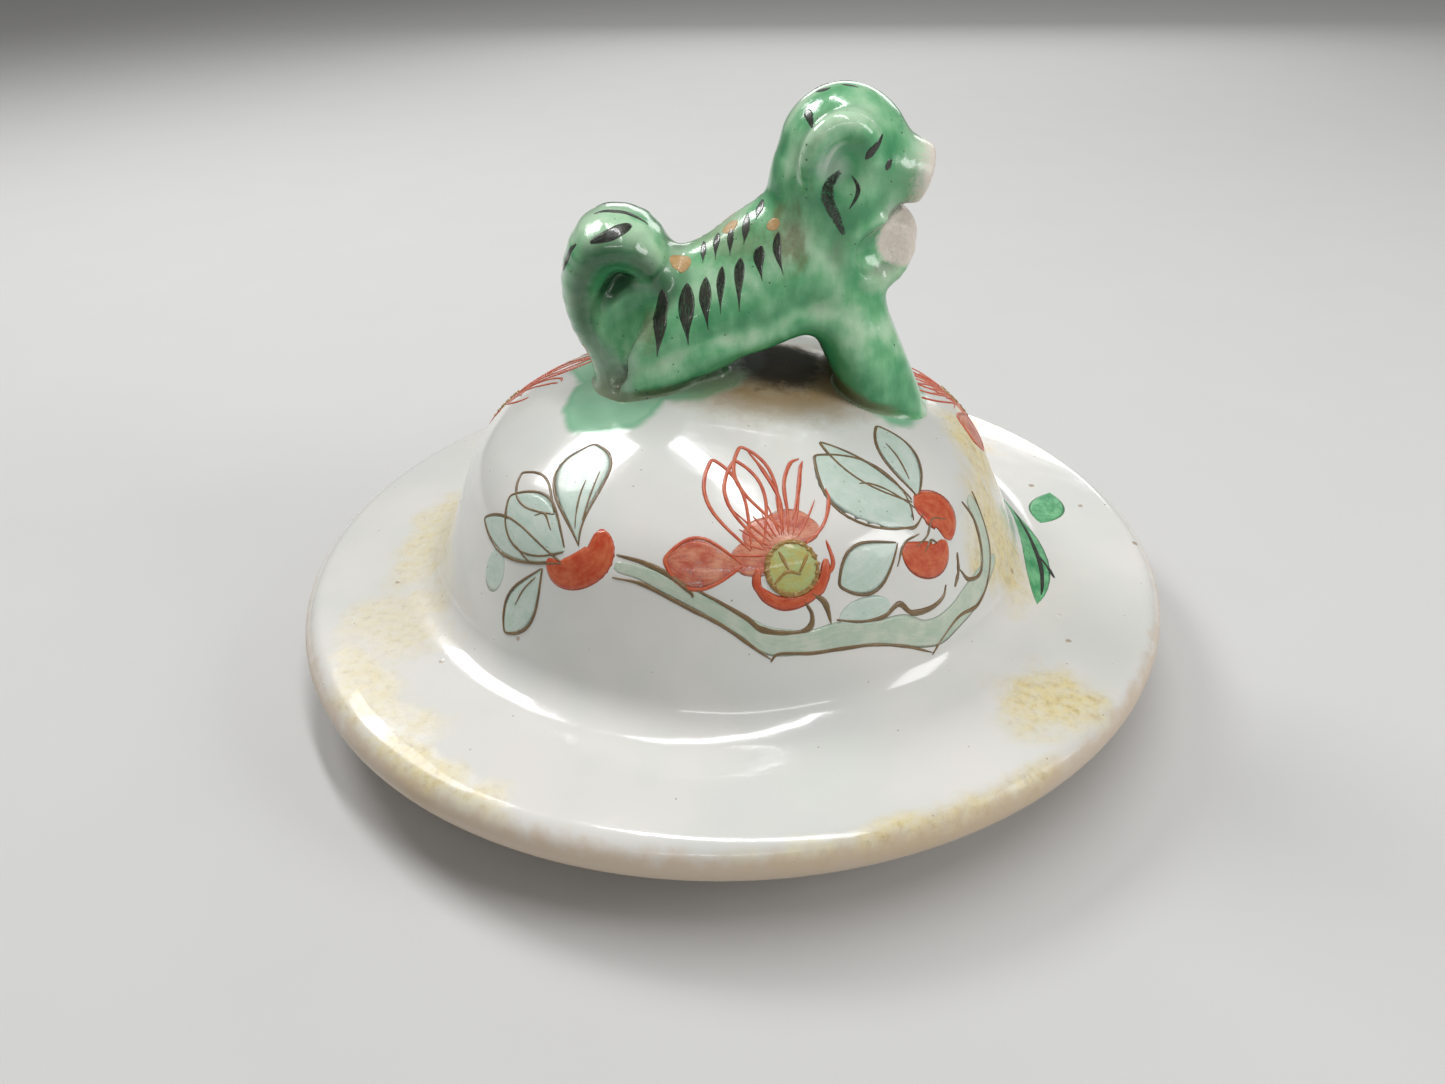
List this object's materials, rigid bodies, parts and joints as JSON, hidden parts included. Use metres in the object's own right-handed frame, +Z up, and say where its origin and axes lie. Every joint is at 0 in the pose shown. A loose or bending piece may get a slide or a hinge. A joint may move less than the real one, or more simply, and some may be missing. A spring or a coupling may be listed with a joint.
{
  "type": "foo dog jar lid",
  "caption": "Domed porcelain jar cover with a wide flange, a locating collar under it, and a guardian lion finial in green enamel standing on its crown.",
  "frame": {"origin": "centre of the foot ring that the lid stands on, at the bottom of the collar, in the plane that it rests on", "axes": "+Z up through the crown, +X the way the lion looks, +Y the lion's own left; the lion's middle plane is Y = 0"},
  "size_m": [0.1, 0.1, 0.0624],
  "materials": {
    "white_glaze": "glossy, faint orange peel",
    "green_enamel": "glossy translucent enamel",
    "biscuit": "unglazed, matt",
    "slip": "fired slip, satin",
    "aqua_enamel": "glossy thin enamel wash",
    "iron_red": "satin overglaze red, brushed",
    "yellow_enamel": "glossy enamel, slightly granular",
    "dark_line": "satin drawn lines",
    "ochre_enamel": "satin, granular"
  },
  "bodies": {
    "root": {"lid_shell": "white_glaze", "locating_collar": "biscuit", "lion_torso": "green_enamel", "lion_head": "green_enamel", "lion_lower_jaw": "green_enamel", "lion_tail": "green_enamel", "lion_ear_left": "green_enamel", "lion_ear_right": "green_enamel", "lion_foreleg_left": "green_enamel", "lion_foreleg_right": "green_enamel", "lion_hind_leg_left": "green_enamel", "lion_hind_leg_right": "green_enamel", "slip_under_tail": "slip", "slip_under_foreleg_left": "slip", "slip_under_foreleg_right": "slip", "slip_under_hind_leg_left": "slip", "slip_under_hind_leg_right": "slip"}
  },
  "joints": []
}
